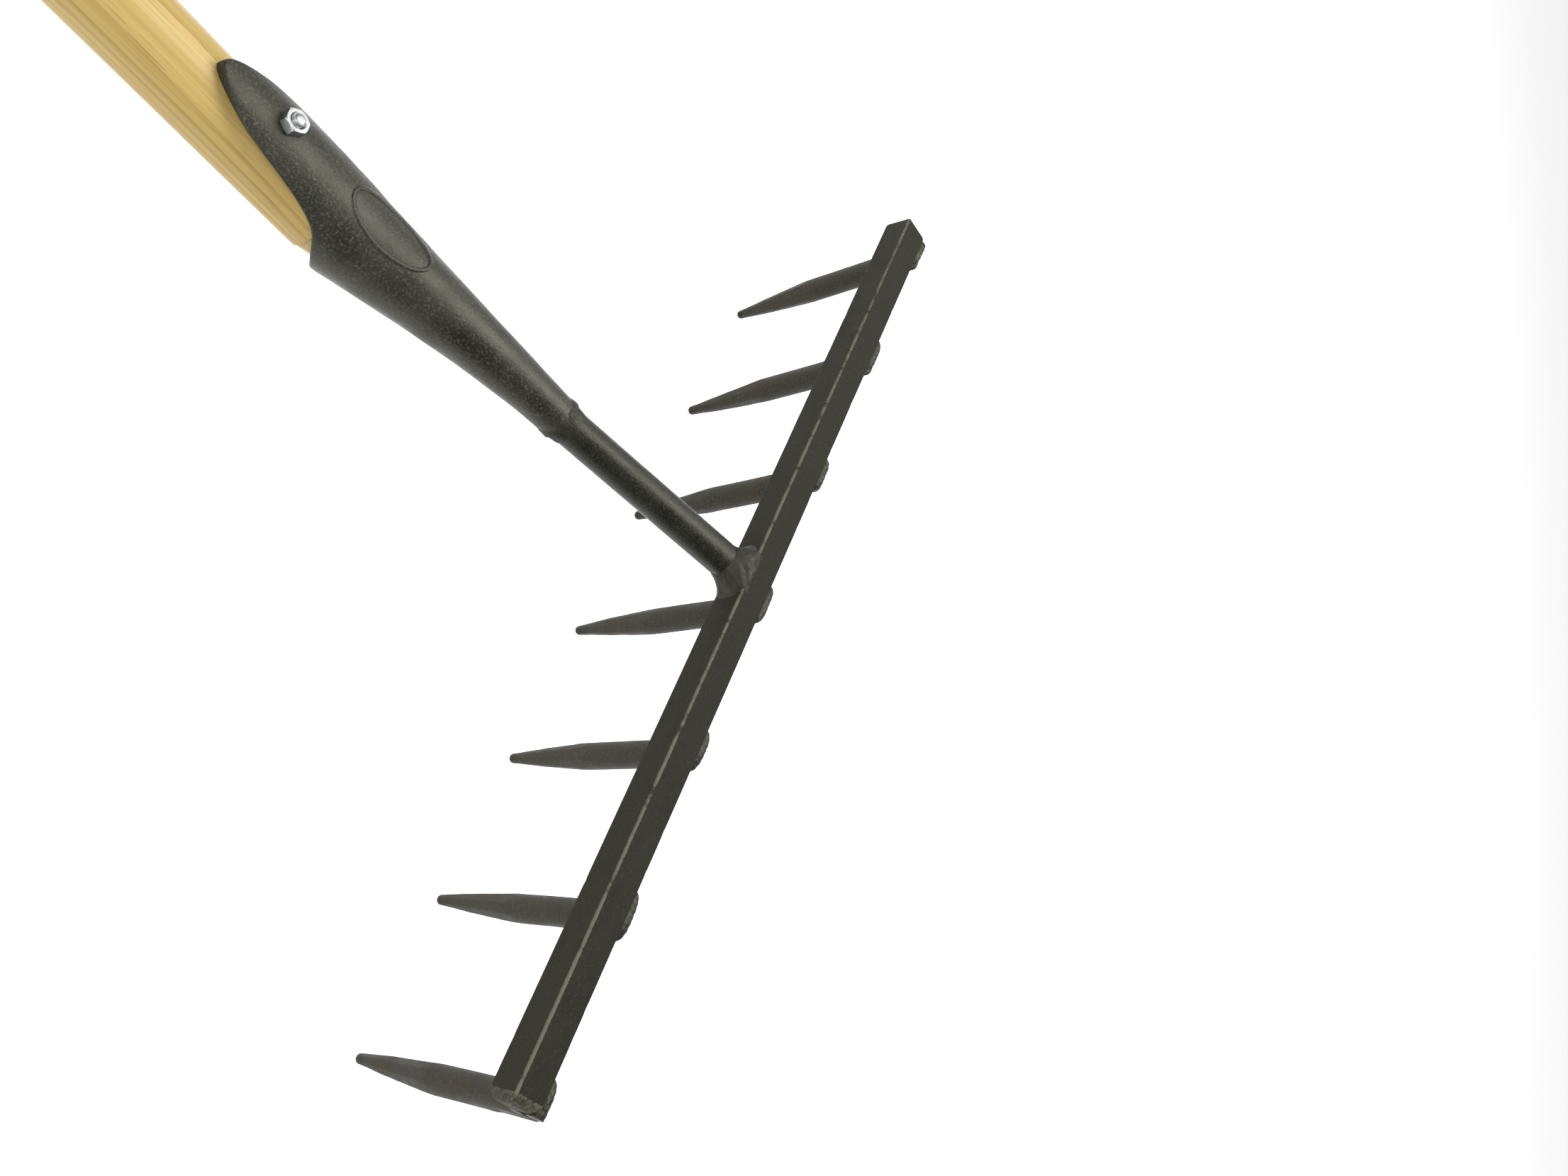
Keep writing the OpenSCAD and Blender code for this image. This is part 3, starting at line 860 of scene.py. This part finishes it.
def build_bar_weld():
    """The fillet round the neck's foot, spread along the bar and flattened at the bar's edges."""
    rows, sides = 34, 144
    tall, sunk = 12.0 * MM, 0.5 * MM
    foot_long, foot_high = 17.5 * MM, BAR_HALF + 1.5 * MM
    squareness = 2.4                                 # of the foot: 2 is an ellipse
    thick, thick_end = 1.5 * MM, 0.25 * MM
    lap_l = 4.8 * MM                                 # how far the bead reaches over the bar's top face
    ridge = BAR_MID.z + BAR_HALF
    axis_z = BAR_MID.z - BAR_HALF * math.tan(NECK_TILT)
    points, wear = [], []
    for j in range(rows + 1):
        s = j / rows                                 # 0 at the bar's face, 1 up on the neck
        lip = thick * math.sin(math.pi * clamp((1.0 - s) / 0.6) / 2) - thick_end
        for t in round_angles(sides):
            cy, cz = math.sin(t), math.cos(t)
            spread = abs(cy / foot_long) ** squareness + abs(cz / foot_high) ** squareness
            foot = max(spread ** (-1 / squareness), NECK_R - 0.4 * MM)
            r = NECK_R + lip + (foot - NECK_R) * (1 - s) ** 2.2
            x = BAR_FRONT - sunk + tall * s ** 1.2
            # on its upper side the bead laps over the bar's front top edge and ends on the top face
            up = clamp((cz - 0.42) / 0.30)
            up = up * up * (3 - 2 * up)
            if up > 0:
                reach = (ridge - axis_z) / cz
                lap = bezier([[tall, NECK_R + 0.2 * MM], [tall * 0.42, NECK_R + 2.6 * MM],
                              [1.0 * MM, reach + 3.2 * MM], [-lap_l, reach - 0.3 * MM]], 1 - s)
                x += (BAR_FRONT + lap[0] - x) * up
                r += (lap[1] - r) * up
            ripple = 0.20 * MM * math.sin(8 * t + 13 * s + 2 * math.sin(2 * t))
            rough = 1.0 * MM * wobble((s * 0.012, cy * 0.014, cz * 0.014), 5.0, 4.0)
            r += (ripple + rough) * math.sin(math.pi * min(1.0, s + 0.12 + 0.1 * (1 - up))) ** 0.6
            z = axis_z - math.tan(NECK_TILT) * (x - BAR_FRONT) * (1 - up * (1 - s)) + r * cz
            points.append(Vector((x, NECK_Y + r * cy, max(BAR_MID.z - BAR_HALF + 0.3 * MM, z))))
            wear.append(0.20 + 0.22 * wobble(points[-1], 4, 3.0))
    faces = rings_to_faces(rows + 1, sides, False, False)
    obj = make_object("bar_bead", points, faces, wear)
    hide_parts("bar_weld")
    dress(obj, WELD)


# ---------------------------------------------------------------- nut and bolt, in mm in the socket's frame
BOLT_AT = (NUT_MID.x - SEAM_X) / MM
BOLT_R, BOLT_TAIL, THREAD_PITCH = 3.0, 2.0, 1.0
THREAD_DEPTH = 0.35
NUT_SEAT = 25.2                          # above the handle's axis
NUT_HALF, NUT_H = 5.0, 5.0               # half its width across the flats, and its height
NUT_TURN = math.radians(38)
HEAD_R, HEAD_H, HEAD_SINK = 8.0, 3.6, 1.8
SQUARE_L = 4.0                           # square neck under the head
FASTENER_SIDES = 48


def build_nut():
    """Hexagon nut, its corners chamfered by a cone at each end, with a countersunk thread mouth."""
    bore = BOLT_R + 0.12
    from_face = (0.0, 0.25, 0.5, 0.8, 1.2, 2.2, 3.2)
    from_top = (1.2, 0.8, 0.5, 0.3, 0.15, 0.0)
    mouth = ((NUT_HALF - 0.35, NUT_H + 0.02), (BOLT_R + 0.7, NUT_H), (bore, NUT_H - 0.6), (bore, 1.0))
    angles = round_angles(FASTENER_SIDES)
    points = []
    for z in [*from_face, *(NUT_H - d for d in from_top)]:
        cone = NUT_HALF + 0.12 + 1.7 * min(z, NUT_H - z)
        for t in angles:
            r = min(NUT_HALF / math.cos((t % (math.pi / 3)) - math.pi / 6), cone)
            points.append(Vector((r * math.cos(t), r * math.sin(t), z)))
    for r, z in mouth:
        points += [Vector((r * math.cos(t), r * math.sin(t), z)) for t in angles]
    place = SOCKET_FRAME @ Matrix.Translation((BOLT_AT, 0, NUT_SEAT)) @ Matrix.Rotation(NUT_TURN, 4, "Z")
    faces = rings_to_faces(len(points) // FASTENER_SIDES, FASTENER_SIDES, True, False)
    obj = make_object("hex_nut", [place @ p for p in points], faces)
    split_edges(obj, 22)
    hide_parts("nut")
    dress(obj, ZINC)


def bolt_rings():
    """(height, radius, kind) of each ring, from the tail's end to the top of the domed head."""
    end = NUT_SEAT + NUT_H + BOLT_TAIL
    thread_top, thread_from = end - 0.55, NUT_SEAT + NUT_H - 1.5
    seat = HANDLE_R / MM - HEAD_SINK
    shank_r = BOLT_R - 0.1
    steps, dome_steps = 48, 12
    rings = [(end + 0.18, 0.8, "round"), (end + 0.08, 1.6, "round"), (end - 0.1, 2.1, "round"),
             (thread_top, BOLT_R - 0.3, "round")]
    rings += [(thread_top - (thread_top - thread_from) * i / steps, 0, "thread") for i in range(steps + 1)]
    rings += [(thread_from - 0.2, shank_r, "round"), (-seat + SQUARE_L + 0.2, shank_r, "round"),
              (-seat + SQUARE_L, BOLT_R, "square"), (-seat, BOLT_R, "square"),
              (-seat, HEAD_R - 0.4, "round"), (-seat - 0.4, HEAD_R, "round")]
    dome = (HEAD_R ** 2 + HEAD_H ** 2) / (2 * HEAD_H)
    for i in range(1, dome_steps + 1):
        r = (HEAD_R - 0.2) * math.cos(math.pi / 2 * i / (dome_steps + 0.6))
        rings.append((-seat - HEAD_H + dome - math.sqrt(dome ** 2 - r ** 2), r, "round"))
    return rings


def build_bolt():
    """Coach bolt: threaded tail out of the nut, plain shank, square neck and domed head."""
    rings = bolt_rings()
    points = []
    for z, r, kind in rings:
        for t in round_angles(FASTENER_SIDES):
            if kind == "thread":
                phase = (z / THREAD_PITCH + t / FULL_TURN) % 1.0
                out = BOLT_R - THREAD_DEPTH + 0.32 * (1 - abs(2 * phase - 1))
            elif kind == "square":
                out = r / max(abs(math.cos(t)), abs(math.sin(t)))
            else:
                out = r
            points.append(Vector((out * math.cos(t), out * math.sin(t), z)))
    place = SOCKET_FRAME @ Matrix.Translation((BOLT_AT, 0, 0))
    faces = rings_to_faces(len(rings), FASTENER_SIDES)
    obj = make_object("coach_bolt", [place @ p for p in points], faces)
    split_edges(obj, 35)
    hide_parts("bolt")
    dress(obj, ZINC)


build_socket()
build_bar()
build_neck_weld()
build_bar_weld()
for number in range(1, TINE_COUNT + 1):
    build_tine(number)
    build_tine_weld(number)
build_nut()
build_bolt()
dress(nodes["handle"], ASH)
dress(nodes["neck"], NECK_STEEL)

# ---------------------------------------------------------------- floor, camera, light
scene = bpy.context.scene


def axes_matrix(at, x_axis, y_axis, z_axis):
    """Matrix that puts an object at a point, with its own axes along the ones given."""
    rows = [(x, y, z, 0) for x, y, z in zip(x_axis, y_axis, z_axis)]
    return Matrix.Translation(at) @ Matrix((*rows, (0, 0, 0, 1)))


def build_floor():
    """The rake lies on it by its tine tips and its handle's free end."""
    size = 9
    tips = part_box("tine_4")[0]
    under_tips = Vector((tips.x, 0, tips.z))
    under_handle = Vector((HANDLE_HI.x, 0, -HANDLE_R))
    slope = math.atan2(under_handle.z - under_tips.z, under_handle.x - under_tips.x)
    mesh = bpy.data.meshes.new("floor")
    mesh.from_pydata([(-size, -size, 0), (size, -size, 0), (size, size, 0), (-size, size, 0)], [],
                     [(0, 1, 2, 3)])
    floor = bpy.data.objects.new("floor", mesh)
    scene.collection.objects.link(floor)
    floor.location = under_tips
    floor.rotation_euler = (0, -slope, 0)
    floor.data.materials.append(paper())


def build_camera():
    """Stands where the photo was taken from, as a pinhole camera fitted to it gave."""
    from_bar = Vector((0.4287, 0.3486, 0.4986))      # camera from the bar's middle
    ahead = Vector((-0.5911, -0.4789, -0.6490)).normalized()
    right = Vector((-0.5503, -0.3488, 0.7586))
    right = (right - ahead * right.dot(ahead)).normalized()
    data = bpy.data.cameras.new("camera")
    data.sensor_width = 36
    data.lens = 32.2
    data.clip_start, data.clip_end = 0.02, 50
    camera = bpy.data.objects.new("camera", data)
    scene.collection.objects.link(camera)
    camera.matrix_world = axes_matrix(BAR_MID + from_bar, right, right.cross(ahead), -ahead)
    scene.camera = camera


def soft_light(name, offset, wide, deep, power):
    """Soft box aimed at the bar's middle, its width along the handle as far as the aim allows."""
    data = bpy.data.lights.new(name, "AREA")
    data.shape, data.size, data.size_y, data.energy = "RECTANGLE", wide, deep, power
    lamp = bpy.data.objects.new(name, data)
    scene.collection.objects.link(lamp)
    away = Vector(offset).normalized()
    along = (Vector((1, 0, 0)) - away * away.x).normalized()
    lamp.matrix_world = axes_matrix(BAR_MID + Vector(offset), along, away.cross(along), away)


def light_sky(strength):
    """Even white light from all round."""
    world = bpy.data.worlds.new("studio")
    scene.world = world
    world.use_nodes = True
    sky = world.node_tree.nodes["Background"].inputs
    sky["Color"].default_value = (1, 1, 1, 1)
    sky["Strength"].default_value = strength


build_floor()
build_camera()
light_sky(0.34)
soft_light("key", (-0.50, -0.80, 1.88), wide=2.2, deep=1.0, power=68)
soft_light("side", (-0.70, -1.95, 1.00), wide=1.6, deep=0.9, power=9)
soft_light("fill", (1.2, 1.2, 1.6), wide=1.4, deep=1.4, power=32)
scene.view_settings.view_transform = "Standard"
